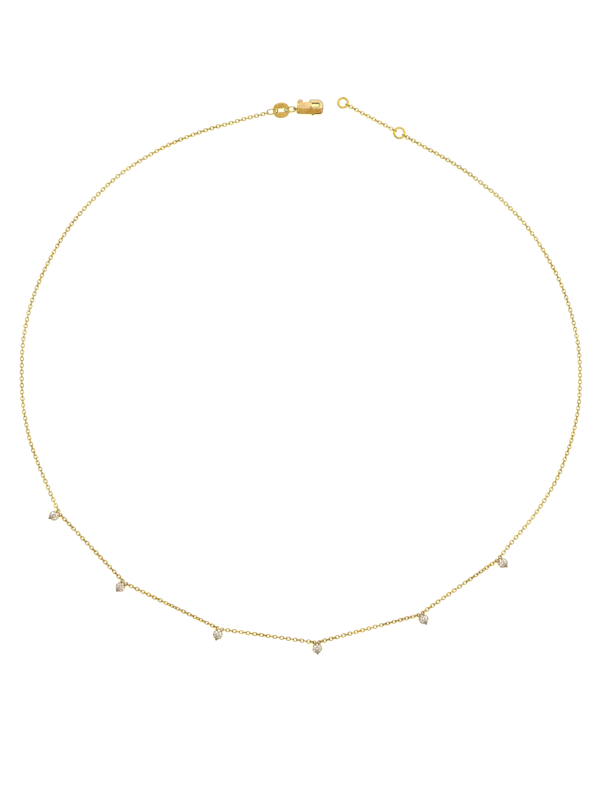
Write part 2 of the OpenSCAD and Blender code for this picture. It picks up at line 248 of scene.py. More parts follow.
# The span that holds nearly all of a noise, and the marks of deep and pale metal in it
NOISE_SPAN = (0.3, 0.7)
DEEP_MARK = 0.32
PALE_MARK = 0.68
GOLD_EDGE = (0.35, 0.26, 0.06, 1)
WIRE_PATCH = 2.2 * MM
WIRE_DENT = 0.002 * MM
BLANK_DENT = 0.001 * MM


def gold(name, dark, light, patch, gloss, dent):
    """Polished 18 carat gold: patches of paler and deeper metal, and a slightly uneven polish."""
    material, tree, shader, place = new_material(name)
    patches = noise(tree, place, 1 / patch, detail=3.0)
    colour = ramp(tree, patches, [(DEEP_MARK, dark), (PALE_MARK, light)])
    polish = to_range(tree, noise(tree, place, 3 / patch), NOISE_SPAN, *gloss)
    dents = bump(tree, noise(tree, place, 6 / patch), dent)
    tree.links.new(colour, shader.inputs["Base Color"])
    tree.links.new(polish, shader.inputs["Roughness"])
    tree.links.new(dents, shader.inputs["Normal"])
    shader.inputs["Metallic"].default_value = 1.0
    shader.inputs["Specular Tint"].default_value = GOLD_EDGE
    return material


def drawn_gold(name, dark, light, gloss=(0.3, 0.4)):
    """Gold of drawn wire, a little dull from the drawing."""
    return gold(name, dark, light, WIRE_PATCH, gloss, WIRE_DENT)


def poured_gold(name, dark, light, patch, gloss=(0.14, 0.26)):
    """Gold of a casting or a blank, polished bright, with its patches' width in millimetres."""
    return gold(name, dark, light, patch * MM, gloss, BLANK_DENT)


wire_gold = drawn_gold("wire_gold", (0.53, 0.36, 0.035), (0.78, 0.58, 0.1))
# Lit and shaded copies of the chain gold: painted light on the extension chain at the top, painted
# shade on the short chains between the stones at the bottom
painted_light_wire_gold = drawn_gold("painted_light_wire_gold", (0.7, 0.51, 0.1), (0.9, 0.71, 0.21))
painted_shade_wire_gold = drawn_gold("painted_shade_wire_gold", (0.45, 0.26, 0.005), (0.73, 0.475, 0.02), (0.26, 0.36))
cast_gold = poured_gold("cast_gold", (0.56, 0.34, 0.07), (0.74, 0.48, 0.12), 1.4)
# Copy of the clasp gold with painted light, for the cheeks, web and pin
painted_light_gold = poured_gold("painted_light_gold", (0.77, 0.52, 0.22), (0.92, 0.69, 0.33), 1.6)
# Paler copy of the gold for the hook: a painted highlight for the pale band along its nose
painted_highlight_gold = poured_gold("painted_highlight_gold", (0.82, 0.58, 0.26), (0.98, 0.82, 0.45), 1.2)
# Copy of the clasp gold with painted shade, for the tail, eye, knob and the lever's gate
painted_shade_gold = poured_gold("painted_shade_gold", (0.48, 0.25, 0.045), (0.7, 0.43, 0.085), 1.6, (0.16, 0.28))
# Copy of the clasp gold with painted light, for the thumb tab
painted_light_tab_gold = poured_gold("painted_light_tab_gold", (0.6, 0.36, 0.11), (0.76, 0.5, 0.18), 1.2)
# Copy of the clasp gold with painted shade, for the jaw
painted_shade_jaw_gold = poured_gold("painted_shade_jaw_gold", (0.42, 0.2, 0.035), (0.66, 0.39, 0.08), 1.2, (0.16, 0.28))
# Darker copy of the gold for the settings: painted shade for the dark reflections in the polished
# prongs
painted_shade_setting_gold = poured_gold("painted_shade_setting_gold", (0.32, 0.17, 0.05), (0.62, 0.41, 0.14), 0.9)

# Painted reflection and shade in the stones: patches of rose and green, greyed to about half so that
# the clear glass looks darker
PAINTED_STONE_REFLECTION_AND_SHADE = [
    (0.35, (0.62, 0.46, 0.37)),
    (0.5, (0.57, 0.5, 0.41)),
    (0.65, (0.52, 0.53, 0.36)),
]
# Width of the patches of painted reflection and shade
PAINTED_REFLECTION_PATCH = 1.1 * MM
DIAMOND_IOR = 2.42


def brilliant_glass():
    """Clear stone of high refraction, with painted rose and green reflections in its facets, greyed
    to paint shade into it.
    """
    material, tree, shader, place = new_material("diamond_clear")
    painted_reflection_and_shade = ramp(tree, noise(tree, place, 1 / PAINTED_REFLECTION_PATCH), PAINTED_STONE_REFLECTION_AND_SHADE)
    tree.links.new(painted_reflection_and_shade, shader.inputs["Base Color"])
    shader.inputs["Roughness"].default_value = 0.0
    shader.inputs["IOR"].default_value = DIAMOND_IOR
    shader.inputs["Transmission Weight"].default_value = 1.0
    return material


diamond_clear = brilliant_glass()


# Camera, surface and light

PX = 0.248
PHOTO_HEIGHT_PX = 800
VIEW_CENTRE = (-0.17, -6.08)
LENS = 100
SENSOR = 36
NEAREST = 0.01


def aim_camera():
    data = bpy.data.cameras.new("camera")
    data.lens = LENS
    data.sensor_width = SENSOR
    data.clip_start = NEAREST
    camera = bpy.data.objects.new("camera", data)
    height = PHOTO_HEIGHT_PX * PX * LENS / SENSOR
    camera.location = (VIEW_CENTRE[0] * MM, VIEW_CENTRE[1] * MM, height * MM)
    bpy.context.scene.collection.objects.link(camera)
    bpy.context.scene.camera = camera


CARD_SIZE = 3.0
# Colour, glow, strength of the glow and height of each card
WHITE_CARD = ((0.03, 0.12, 0.84), (1.0, 0.92, 0.26), 1.03, -0.00001)
GREY_CARD = ((0.35, 0.33, 0.3), (0, 0, 0), 0.0, -0.00002)


def lay_card(name, colour, glow, strength, height):
    """One large plain card under the necklace."""
    bpy.ops.object.select_all(action="DESELECT")
    bpy.ops.mesh.primitive_plane_add(size=CARD_SIZE, location=(0, 0, height))
    card = bpy.context.object
    card.name = name
    material = bpy.data.materials.new(name)
    material.use_nodes = True
    shader = material.node_tree.nodes["Principled BSDF"]
    shader.inputs["Base Color"].default_value = (*colour, 1)
    shader.inputs["Roughness"].default_value = 0.9
    shader.inputs["Specular IOR Level"].default_value = 0.0
    shader.inputs["Emission Color"].default_value = (*glow, 1)
    shader.inputs["Emission Strength"].default_value = strength
    card.data.materials.append(material)
    return card


def lay_surface():
    """A white card to look at, over a grey one that the polished metal and the stones mirror.

    The white card glows a little warm, so that it looks yellow under the gold, where less light
    reaches it.
    """
    white = lay_card("white_card", *WHITE_CARD)
    white.visible_glossy = False
    white.visible_transmission = False
    grey = lay_card("grey_card", *GREY_CARD)
    grey.visible_camera = False


def soft_light(name, place, size, watts):
    data = bpy.data.lights.new(name, "AREA")
    data.shape = "DISK"
    data.size = size
    data.energy = watts
    light = bpy.data.objects.new(name, data)
    light.location = place
    light.visible_camera = False
    light.rotation_euler = Vector(place).to_track_quat("Z", "Y").to_euler()
    bpy.context.scene.collection.objects.link(light)


# Light round the room, by height above the horizon: 0 is level, 1 is straight up
ROOM_LIGHT = [
    (0.0, (0.06, 0.05, 0.04)),
    (0.36, (0.12, 0.1, 0.08)),
    (0.54, (0.98, 0.95, 0.9)),
    (0.8, (1.0, 0.98, 0.94)),
    (0.92, (0.57, 0.57, 0.56)),
    (1.0, (0.55, 0.55, 0.54)),
]
ROOM_STRENGTH = 1.65
# The way to the brighter side of the room, and how much darker and brighter its sides are
BRIGHT_SIDE = (0.6, 0.8, 0.0)
SIDE_SPAN = (-0.8, 0.8)
SIDE_LIGHT = (0.5, 1.5)
# Name, place, width and watts of each lamp
LAMPS = [
    ("key", (-0.7, 0.7, 1.1), 0.5, 2.4),
    ("fill", (0.9, 0.2, 1.0), 0.4, 1.2),
    ("front", (0.1, -0.95, 1.0), 0.4, 1.0),
]


def light_room():
    """A pale tent of soft light, brighter on one side, round a darker ceiling, and three lamps."""
    scene = bpy.context.scene
    scene.view_settings.view_transform = "Standard"
    scene.view_settings.look = "None"
    scene.view_settings.exposure = 0
    scene.view_settings.gamma = 1
    scene.world = bpy.data.worlds.new("room")
    scene.world.use_nodes = True
    tree = scene.world.node_tree
    background = tree.nodes["Background"]
    split = tree.nodes.new("ShaderNodeSeparateXYZ")
    where = tree.nodes.new("ShaderNodeTexCoord").outputs["Generated"]
    tree.links.new(where, split.inputs["Vector"])
    tree.links.new(ramp(tree, split.outputs["Z"], ROOM_LIGHT), background.inputs["Color"])
    side = tree.nodes.new("ShaderNodeVectorMath")
    side.operation = "DOT_PRODUCT"
    side.inputs[1].default_value = BRIGHT_SIDE
    tree.links.new(where, side.inputs[0])
    levels = (share * ROOM_STRENGTH for share in SIDE_LIGHT)
    level = to_range(tree, side.outputs["Value"], SIDE_SPAN, *levels)
    tree.links.new(level, background.inputs["Strength"])
    for lamp in LAMPS:
        soft_light(*lamp)


aim_camera()
lay_surface()
light_room()


# Chains

def oval_link(length, width, wire, around, sides):
    """A ring whose two halves are drawn apart, lying flat along X."""
    bpy.ops.object.select_all(action="DESELECT")
    bpy.ops.mesh.primitive_torus_add(
        major_segments=around,
        minor_segments=sides,
        major_radius=(width - wire) / 2,
        minor_radius=wire / 2,
        rotation=(0, 0, math.pi / around),
    )
    link = bpy.context.object
    bpy.ops.object.transform_apply(rotation=True)
    edit(link)
    for side in (-1, 1):
        pick_points(link, lambda place: place.x * side > 0)
        bpy.ops.transform.translate(value=(side * (length - width) / 2, 0, 0))
    done()
    smooth(link, 180)
    return link


class Path:
    """A smooth line through points on the surface, measured along its length."""

    STEPS = 16

    def __init__(self, points):
        ends = [2 * Vector(points[0]) - Vector(points[1])]
        knots = ends + [Vector(p) for p in points] + [2 * Vector(points[-1]) - Vector(points[-2])]
        self.places = [knots[1]]
        for a, b, c, d in zip(knots, knots[1:], knots[2:], knots[3:]):
            for step in range(1, self.STEPS + 1):
                t = step / self.STEPS
                self.places.append(
                    0.5 * (2 * b + (c - a) * t + (2 * a - 5 * b + 4 * c - d) * t**2
                           + (3 * b - a - 3 * c + d) * t**3)
                )
        self.marks = [0.0]
        for a, b in zip(self.places, self.places[1:]):
            self.marks.append(self.marks[-1] + (b - a).length)
        self.length = self.marks[-1]

    def at(self, distance):
        """The place at a distance from the start; past an end, the last stretch runs on."""
        last = len(self.marks) - 2
        i = min(max(sum(1 for mark in self.marks if mark <= distance) - 1, 0), last)
        share = (distance - self.marks[i]) / (self.marks[i + 1] - self.marks[i])
        return self.places[i].lerp(self.places[i + 1], share)


def beside_stone(stone, x, y):
    """A point of a stone's own plan, put on the surface."""
    turn = math.radians(stone[2])
    return (
        stone[0] + x * math.sin(turn) + y * math.cos(turn),
        stone[1] - x * math.cos(turn) + y * math.sin(turn),
    )


def lay_chain(name, material, points, play, hook_a, hook_b, extra_a=0.0, extra_b=0.0):
    """Links along a path between two hooks, each a quarter turn round from its neighbours.

    The extras lengthen the first and the last link, where they hold a thicker ring.
    """
    path = Path(points)
    span = path.length - hook_a - hook_b - WIRE - LINK_GAP - extra_a - extra_b
    count = 2 * round((span / LINK_PITCH - 1) / 2) + 1
    pitch = span / count
    plain = pitch + 2 * WIRE + LINK_GAP
    links = []
    sway = DICE.uniform(0, SWAY_START)
    for i in range(count):
        extra = extra_a if i == 0 else extra_b if i == count - 1 else 0.0
        length = plain + extra
        start = hook_a - WIRE / 2 + pitch * i + (extra_a if i > 0 else 0.0)
        a = path.at(start)
        b = path.at(start + length)
        middle = (a + b) / 2
        heading = math.degrees(math.atan2(b.y - a.y, b.x - a.x))
        heading += DICE.uniform(-TURN_PLAY, TURN_PLAY) * play
        lean = ROLL_SWAY * math.sin(sway + i / SWAY_LINKS) + DICE.uniform(-ROLL_PLAY, ROLL_PLAY)
        roll = (90 if i % 2 == 0 else 0) + play * lean
        shape = oval_link_shape if extra == 0 else ring_link_shape
        links.append(copy_of(shape, turned(middle.x, middle.y, CHAIN_Z, heading, roll)))
    chain = join(links, name)
    return settle(chain, "necklace", material, "gold", name)


LINK_LENGTH = LINK_PITCH + 2 * WIRE + LINK_GAP
oval_link_shape = oval_link(LINK_LENGTH, LINK_WIDTH, WIRE, LINK_SIDES, WIRE_SIDES)
RING_LINK_LENGTH = LINK_LENGTH + RING_LINK_EXTRA
ring_link_shape = oval_link(RING_LINK_LENGTH, LINK_WIDTH, WIRE, LINK_SIDES, WIRE_SIDES)


def ring_hook(diameter, band):
    """From a jump ring's middle to the end of a chain that hangs in it."""
    return diameter / 2 - band - WIRE / 2 - RING_LINK_GAP


for number, (stone, next_stone) in enumerate(zip(STONES, STONES[1:]), 1):
    lay_chain(
        f"chain_{number}_{number + 1}",
        # the deeper copy of the chain gold, painted shade
        painted_shade_wire_gold,
        [beside_stone(stone, LOOP_X, LOOP_Y), beside_stone(next_stone, -LOOP_X, LOOP_Y)],
        SHORT_CHAIN_PLAY,
        LOOP_HOOK,
        LOOP_HOOK,
    )
lay_chain(
    "chain_extension",
    # the paler copy of the chain gold, painted light
    painted_light_wire_gold,
    [END_RING, ADJUSTING_RING],
    EXTENSION_PLAY,
    ring_hook(END_RING_D, END_RING_BAND),
    ring_hook(ADJUSTING_RING_D, ADJUSTING_RING_BAND),
    RING_LINK_EXTRA,
    RING_LINK_EXTRA,
)
lay_chain(
    "chain_left",
    wire_gold,
    [beside_stone(STONES[0], -LOOP_X, LOOP_Y), *LEFT_ROUTE, LEFT_TAG_LINK[:2]],
    LONG_CHAIN_PLAY,
    LOOP_HOOK,
    TAG_LINK_LEN / 2 - TAG_LINK_WIRE - WIRE / 2 - LINK_GAP,
)
lay_chain(
    "chain_right",
    wire_gold,
    [ADJUSTING_RING, *RIGHT_ROUTE, beside_stone(STONES[-1], LOOP_X, LOOP_Y)],
    LONG_CHAIN_PLAY,
    ring_hook(ADJUSTING_RING_D, ADJUSTING_RING_BAND),
    LOOP_HOOK,
    RING_LINK_EXTRA,
)
for shape in (oval_link_shape, ring_link_shape):
    bpy.data.objects.remove(shape)


# Shared ways of shaping metal

def shape_by(obj, rule):
    """Moves every point of a primitive by a rule from its own place."""
    for point in obj.data.vertices:
        point.co = rule(point.co)
    obj.data.update()


def ring(major, minor, around, sides, height=1.0):
    """A wire ring lying flat at the origin, its wire pressed to a share of its height."""
    bpy.ops.object.select_all(action="DESELECT")
    bpy.ops.mesh.primitive_torus_add(
        major_segments=around, minor_segments=sides, major_radius=major, minor_radius=minor
    )
    made = bpy.context.object
    edit(made)
    bpy.ops.mesh.select_all(action="SELECT")
    bpy.ops.transform.resize(value=(1, 1, height))
    done()
    return made


def put(obj, place):
    obj.data.transform(place)
    return obj


def turned_stack(steps, sides):
    """A round solid made by drawing a disc up through (radius, height) steps."""
    bpy.ops.object.select_all(action="DESELECT")
    radius, height = steps[0]
    bpy.ops.mesh.primitive_circle_add(
        vertices=sides, radius=radius, location=(0, 0, height), fill_type="NGON"
    )
    made = bpy.context.object
    bpy.ops.object.transform_apply(location=True)
    edit(made)
    bpy.ops.mesh.select_all(action="SELECT")
    for (r0, z0), (r1, z1) in zip(steps, steps[1:]):
        bpy.ops.mesh.extrude_region_move(TRANSFORM_OT_translate={"value": (0, 0, z1 - z0)})
        bpy.ops.transform.resize(value=(r1 / r0, r1 / r0, 1))
    bpy.ops.mesh.select_all(action="SELECT")
    bpy.ops.mesh.normals_make_consistent(inside=False)
    done()
    return made


def drawn_wire(stations):
    """A wire through (x, y, z, radius) stations, as one smooth curve made into a mesh."""
    bpy.ops.object.select_all(action="DESELECT")
    bpy.ops.curve.primitive_nurbs_path_add()
    made = bpy.context.object
    line = made.data.splines[0]
    line.points.add(len(stations) - len(line.points))
    for point, (x, y, z, radius) in zip(line.points, stations):
        point.co = (x, y, z, 1)
        point.radius = radius
    line.order_u = 3
    line.use_endpoint_u = True
    line.resolution_u = 8
    made.data.bevel_depth = 1.0
    made.data.bevel_resolution = 4
    made.data.use_fill_caps = True
    bpy.ops.object.convert(target="MESH")
    return bpy.context.object


def apply_modifier(obj, kind, **settings):
    pick_object(obj)
    modifier = obj.modifiers.new(kind.lower(), kind)
    for key, value in settings.items():
        setattr(modifier, key, value)
    bpy.ops.object.modifier_apply(modifier=modifier.name)


def arc(x, y, radius, start, end, count):
    steps = [math.radians(start + (end - start) * i / count) for i in range(count + 1)]
    return [(x + radius * math.cos(a), y + radius * math.sin(a)) for a in steps]


CORNER = math.radians(40)


def plate(outline, low, high, rim, steps):
    """A flat blank cut to an outline, drawn up to its thickness and rounded along its rims."""
    bpy.ops.object.select_all(action="DESELECT")
    bpy.ops.mesh.primitive_circle_add(vertices=len(outline), fill_type="NGON")
    made = bpy.context.object
    for point, (x, y) in zip(made.data.vertices, outline):
        point.co = (x, y, low)
    edit(made)
    bpy.ops.mesh.select_all(action="SELECT")
    bpy.ops.mesh.extrude_region_move(TRANSFORM_OT_translate={"value": (0, 0, high - low)})
    bpy.ops.mesh.select_all(action="SELECT")
    bpy.ops.mesh.normals_make_consistent(inside=False)
    done()
    apply_modifier(
        made, "BEVEL", width=rim, segments=steps, limit_method="ANGLE", angle_limit=CORNER
    )
    return made


# Settings

GIRDLE_Z = 1.42
GIRDLE_T = 0.06
STONE_D = 2.45
STONE_R = STONE_D / 2
SEAT_GAP = 0.04
PRONG_ANGLE = 29
BASE_RING = (0.8, 0.13)
GALLERY_RING_R = 0.95
GALLERY_WIRE = 0.26
LOOP_D = 0.95
LOOP_WIRE = 0.22
BRIDGE_Y = 1.04
YOKE_Y = 1.3
YOKE_X = 0.28
BAR_R = LOOP_WIRE / 2 + 0.01
# Radius and height up the room that the stone needs: its point, girdle, crown and table
SEAT = [
    (0.02, 0.29),
    (STONE_R + SEAT_GAP, GIRDLE_Z - SEAT_GAP / 2),
    (STONE_R + SEAT_GAP, GIRDLE_Z + GIRDLE_T + SEAT_GAP / 2),
    (0.98 + SEAT_GAP, 1.7 + SEAT_GAP),
    (0.7, 1.89),
]
# Radius from the stone's axis, height and thickness radius along each prong
PRONG = [
    (0.8, 0.13, 0.17), (0.95, 0.62, 0.17), (1.13, 1.2, 0.18), (1.2, 1.5, 0.2), (1.17, 1.72, 0.22),
]
PRONG_HEAD_R = 0.26
CLAW = [
    (0.8, 0.13, 0.17), (0.98, 0.66, 0.18), (1.2, 1.2, 0.22), (1.34, 1.5, 0.24),
    (1.2, 1.72, 0.28), (1.0, 1.84, 0.22), (0.88, 1.88, 0.18),
]
CLAW_HEAD_R = 0.19
SETTING_GRAIN = 0.032


def ball(radius, place):
    bpy.ops.object.select_all(action="DESELECT")
    bpy.ops.mesh.primitive_uv_sphere_add(segments=24, ring_count=16, radius=radius, location=place)
    made = bpy.context.object
    bpy.ops.object.transform_apply(location=True)
    return made


def prong(stations, angle, head):
    """A bent wire whose end is melted to a round head, turned to its place round the stone."""
    r, z, _ = stations[-1]
    place = turned(0, 0, 0, angle)
    wire = drawn_wire([(r, 0, z, thick) for r, z, thick in stations])
    return [put(wire, place), put(ball(head, (r, 0, z)), place)]


def cast_setting():
    """Prongs, rings, loops and bars soldered together, with the fillets that solder leaves."""
    parts = [
        put(ring(BASE_RING[0], GALLERY_WIRE / 2, 48, 12), turned(0, 0, BASE_RING[1], 0)),
        put(ring(GALLERY_RING_R, GALLERY_WIRE / 2, 48, 12), turned(0, 0, CHAIN_Z, 0)),
        *prong(PRONG, 90 - PRONG_ANGLE, PRONG_HEAD_R),
        *prong(PRONG, 90 + PRONG_ANGLE, PRONG_HEAD_R),
        *prong(CLAW, -90, CLAW_HEAD_R),
    ]
    for side in (-1, 1):
        loop = ring((LOOP_D - LOOP_WIRE) / 2, LOOP_WIRE / 2, 40, 12)
        parts.append(put(loop, turned(side * LOOP_X, LOOP_Y, CHAIN_Z, 0)))
    for reach, y in ((LOOP_X, BRIDGE_Y), (YOKE_X, YOKE_Y)):
        parts.append(drawn_wire([(x * reach, y, CHAIN_Z, BAR_R) for x in (-1, -0.5, 0, 0.5, 1)]))
    casting = join(parts, "casting")
    apply_modifier(casting, "REMESH", mode="VOXEL", voxel_size=SETTING_GRAIN)
    apply_modifier(casting, "SMOOTH", factor=0.5, iterations=4)
    apply_modifier(casting, "DECIMATE", ratio=0.4)
    seat = turned_stack(SEAT, 64)
    apply_modifier(casting, "BOOLEAN", operation="DIFFERENCE", object=seat, solver="EXACT")
    bpy.data.objects.remove(seat)
    smooth(casting, 50)
    return casting


casting = cast_setting()
for number, (x, y, facing) in enumerate(STONES, 1):
    name = f"setting_{number}"
    setting = copy_of(casting, turned(x, y, 0, facing - 90))
    setting.name = name
    # the settings get the darker copy of the gold, painted shade
    settle(setting, "necklace", painted_shade_setting_gold, "gold", name)
bpy.data.objects.remove(casting)


# Rings and oval links

RING_HEIGHT_SHARE = 0.78
END_RING_LOW = RING_T / 2 + 0.01
GROOVE = 0.015
SEAM_LINE = 1e-4


def soldered_seam(obj):
    """Draws in one narrow band of a ring's wire where its ends were closed."""
    edit(obj)
    bpy.ops.mesh.select_mode(type="EDGE")
    bpy.ops.mesh.select_all(action="DESELECT")
    mesh = bmesh.from_edit_mesh(obj.data)
    for line in mesh.edges:
        a, b = (point.co for point in line.verts)
        line.select_set(abs(a.y) < SEAM_LINE and abs(b.y) < SEAM_LINE and a.x > 0 and b.x > 0)
    bmesh.update_edit_mesh(obj.data)
    bpy.ops.mesh.bevel(offset=2 * GROOVE, segments=2, affect="EDGES")
    pick_points(obj, lambda place: abs(place.y) < SEAM_LINE and place.x > 0)
    bpy.ops.transform.shrink_fatten(value=-GROOVE)
    done()


def jump_ring(name, diameter, band, place):
    """A ring with its seam, pressed a little flat."""
    made = ring((diameter - band) / 2, band / 2, 64, 16, RING_HEIGHT_SHARE)
    soldered_seam(made)
    smooth(made, 180)
    made.name = name
    return settle(put(made, place), "necklace", wire_gold, "gold", name)


jump_ring(
    "adjusting_ring",
    ADJUSTING_RING_D,
    ADJUSTING_RING_BAND,
    turned(*ADJUSTING_RING, CHAIN_Z, ADJUSTING_RING_SEAM),
)
# The end ring lies on the surface at its free side and leans up to the chain at the other
lean = math.asin((CHAIN_Z - END_RING_LOW) / (END_RING_D - END_RING_BAND))
to_adjuster = math.atan2(ADJUSTING_RING[1] - END_RING[1], ADJUSTING_RING[0] - END_RING[0])
jump_ring(
    "end_ring",
    END_RING_D,
    END_RING_BAND,
    turned(*END_RING, (CHAIN_Z + END_RING_LOW) / 2, math.degrees(to_adjuster))
    @ Matrix.Rotation(-lean, 4, "Y")
    @ Matrix.Rotation(math.radians(END_RING_SEAM), 4, "Z"),
)

for name, (x, y, turn) in (("tag_link_left", LEFT_TAG_LINK), ("tag_link_right", RIGHT_TAG_LINK)):
    held = oval_link(TAG_LINK_LEN, TAG_LINK_WIDTH, TAG_LINK_WIRE, 40, 14)
    held.name = name
    held = put(held, turned(x, y, TAG_LINK_Z, turn, TAG_LINK_ROLL))
    settle(held, "necklace", wire_gold, "gold", name)


# Tag

TAG_AT = (-4.83, 65.7, 0.6, 5)
TAG_LEN = 4.07
TAG_WIDTH = 3.8
TAG_T = 0.32
# Steepness of the wire ring's section once drawn out, which leaves flat faces and chamfers
TAG_CHAMFER = 1.6
TAG_FLAT_R = TAG_LEN * 0.62
TAG_HOLE = (2.66, 1.36)
TAG_BULGE = 0.23
TAG_BULGE_R = (TAG_HOLE[0] ** 2 / 4 + TAG_BULGE**2) / (2 * TAG_BULGE)


def tag_outline(turn):
    """Reach of the tag's oval rim in one direction: a circle flattened by two wide arcs."""
    y = abs(math.sin(turn))
    offset = TAG_FLAT_R - TAG_WIDTH / 2
    to_flat = -y * offset + math.sqrt((y * offset) ** 2 + TAG_FLAT_R**2 - offset**2)
    return min(TAG_LEN / 2, to_flat)


def tag_opening(turn):
    """Reach of the bow-shaped opening in one direction."""
    x, y = abs(math.cos(turn)), abs(math.sin(turn))
    reach = min(TAG_HOLE[0] / 2 / max(x, 1e-6), TAG_HOLE[1] / 2 / max(y, 1e-6))
    for _ in range(12):
        across = min(x * reach, TAG_HOLE[0] / 2)
        bulge = TAG_BULGE - (TAG_BULGE_R - math.sqrt(TAG_BULGE_R**2 - across**2))
        reach = min(TAG_HOLE[0] / 2 / max(x, 1e-6), (TAG_HOLE[1] / 2 - bulge) / max(y, 1e-6))
    return reach


def polished_tag():
    """A ring drawn out until its section fills the plate between rim and opening."""
    made = ring(2, 1, 120, 28)

    def plate_place(place):
        turn = math.atan2(place.y, place.x)
        inward = (3 - math.hypot(place.x, place.y)) / 2
        reach = tag_outline(turn) * (1 - inward) + tag_opening(turn) * inward
        rise = math.copysign(min(abs(place.z) * TAG_CHAMFER, 1), place.z) * TAG_T / 2
        return Vector((reach * math.cos(turn), reach * math.sin(turn), rise))

    shape_by(made, plate_place)
    smooth(made, 30)
    made.name = "tag"
    x, y, z, turn = TAG_AT
    return settle(put(made, turned(x, y, z, turn)), "necklace", cast_gold, "gold", "tag")


polished_tag()


# Clasp: x runs to its nose, y to the side where the thumb tab is. Arcs are x, y and radius.

CLASP_AT = (2.1, 66.5)
CLASP_T = 1.6
HALF_W = 1.75
NOSE_END_X = 3.5
NOSE_R = 1.4
PIVOT = (-2.0, -0.3)
SLOT_Y = (-0.05, 0.8)
SLOT_END_X = 2.42
SLOT_R = 0.22
ARM_X = 0.5
WEB_X = (-1.35, 0.55)
WEB_Y = (SLOT_Y[1] - 0.1, 1.15)
WEB_Z = (0.05, CLASP_T - 0.07)
WEB_RIM = 0.12
HOOK_LOW = -0.7
HOOK_LOW_R = 0.4
HOOK_RIM = 0.17
JAW_X = (0.2, 3.38)
JAW_TOP = -0.5
JAW_R = 0.8
JAW_TOP_R = 0.36
JAW_Z = (0.06, 1.5)
JAW_RIM = 0.34
TIP_SWEEP_R = 2.95
GATE_SWEEP_R = 2.93
GATE_END_X = 1.4
GATE_Y = (-1.7, -0.15)
TIP_BUMP = (0.95, -1.72, 0.3)
HEEL = (-2.1, -1.32, 0.38)
TAB = (-2.2, 1.2, 0.66)
TONGUE_LEFT = -2.86
TONGUE_LOW = 0.45
NECK = (-2.48, -1.57)
NECK_Y = (-0.8, -0.1)
GATE_ROOT_Y = 0.1
CHEEK_X = (-2.95, 0.65)
CHEEK_Y = (-0.55, 0.81)
CHEEK_R = 0.45
CHEEK_RIM = 0.11
MOUTH_X = 0.3
MOUTH_LOW = -2.1
LEVER_T = 0.76
LEVER_GAP = 0.08
LEVER_RIM = 0.3
CHEEK_T = (CLASP_T - LEVER_T) / 2 - LEVER_GAP
TAIL = (-2.25, -0.6, 1.08)
TAIL_X = (-3.1, -2.55)
TAIL_TOP = -0.22
TAIL_END = 255
TAIL_INSET = 0.03
TAIL_RIM = 0.05
# Room between the tail and the lever's heel, and where round the heel it begins
HEEL_ROOM = 0.05
HEEL_START = 222
EYE = (-3.4, -0.45, 0.65)
EYE_R = 0.52
EYE_WIRE = 0.25
PIN_R = 0.22
BORE_R = PIN_R + 0.04
# Radius and height up the pin and up the knob at the hook's tip
PIN = [(0.16, 0.0), (PIN_R, 0.05), (PIN_R, CLASP_T - 0.02), (0.17, CLASP_T + 0.03)]
KNOB = [
    (0.2, 0.12), (TIP_BUMP[2], 0.22), (TIP_BUMP[2], CLASP_T - 0.2), (0.25, CLASP_T - 0.13),
]


def cut(obj, cutter, operation="DIFFERENCE"):
    apply_modifier(obj, "BOOLEAN", operation=operation, object=cutter, solver="EXACT")
    bpy.data.objects.remove(cutter)
    return obj


def sweep_angle(radius, y):
    """Angle round the pin, in degrees, at which an arc crosses a height."""
    return math.degrees(math.asin((y - PIVOT[1]) / radius))


def mouth():
    """The room that the gate's end swings through, between the cheeks and the hook's tip."""
    low, high = (sweep_angle(TIP_SWEEP_R, y) for y in (MOUTH_LOW, 0.0))
    outline = [(0.0, MOUTH_LOW), *arc(*PIVOT, TIP_SWEEP_R, low, high, 24), (0.0, 0.0)]
    return plate(outline, -0.1, CLASP_T + 0.1, 0.01, 1)


def hook_blank():
    """The nose with the arm over the slot and the strip under it."""
    arm_r = (HALF_W - SLOT_Y[1]) / 2
    outline = [
        (MOUTH_X, HOOK_LOW),
        *arc(NOSE_END_X - HOOK_LOW_R, HOOK_LOW + HOOK_LOW_R, HOOK_LOW_R, -90, 0, 10),
        *arc(NOSE_END_X - NOSE_R, HALF_W - NOSE_R, NOSE_R, 0, 90, 30),
        *arc(ARM_X, SLOT_Y[1] + arm_r, arm_r, 90, 270, 16),
        *arc(SLOT_END_X - SLOT_R, SLOT_Y[1] - SLOT_R, SLOT_R, 90, 0, 6),
        *arc(SLOT_END_X - SLOT_R, SLOT_Y[0] + SLOT_R, SLOT_R, 0, -90, 6),
        (MOUTH_X, SLOT_Y[0]),
    ]
    return cut(plate(outline, 0, CLASP_T, HOOK_RIM, 1), mouth())


def jaw_blank():
    """The bar that ends in the hook's tip, rounded like the lever beside it."""
    outline = [
        (JAW_X[0], -HALF_W),
        *arc(JAW_X[1] - JAW_R, JAW_R - HALF_W, JAW_R, -90, 0, 16),
        *arc(JAW_X[1] - JAW_TOP_R, JAW_TOP - JAW_TOP_R, JAW_TOP_R, 0, 90, 10),
        (JAW_X[0], JAW_TOP),
    ]
    return cut(plate(outline, *JAW_Z, JAW_RIM, 6), mouth())


def cheek_blank(low):
    """One of the two cheeks that hold the pin, with a step at the mouth."""
    outline = [
        (MOUTH_X, CHEEK_Y[0]),
        (MOUTH_X, SLOT_Y[0]),
        (CHEEK_X[1], SLOT_Y[0]),
        (CHEEK_X[1], CHEEK_Y[1]),
        *arc(CHEEK_X[0] + CHEEK_R, CHEEK_Y[1] - CHEEK_R, CHEEK_R, 90, 180, 10),
        *arc(CHEEK_X[0] + CHEEK_R, CHEEK_Y[0] + CHEEK_R, CHEEK_R, 180, 270, 10),
    ]
    return plate(outline, low, low + CHEEK_T, CHEEK_RIM, 4)


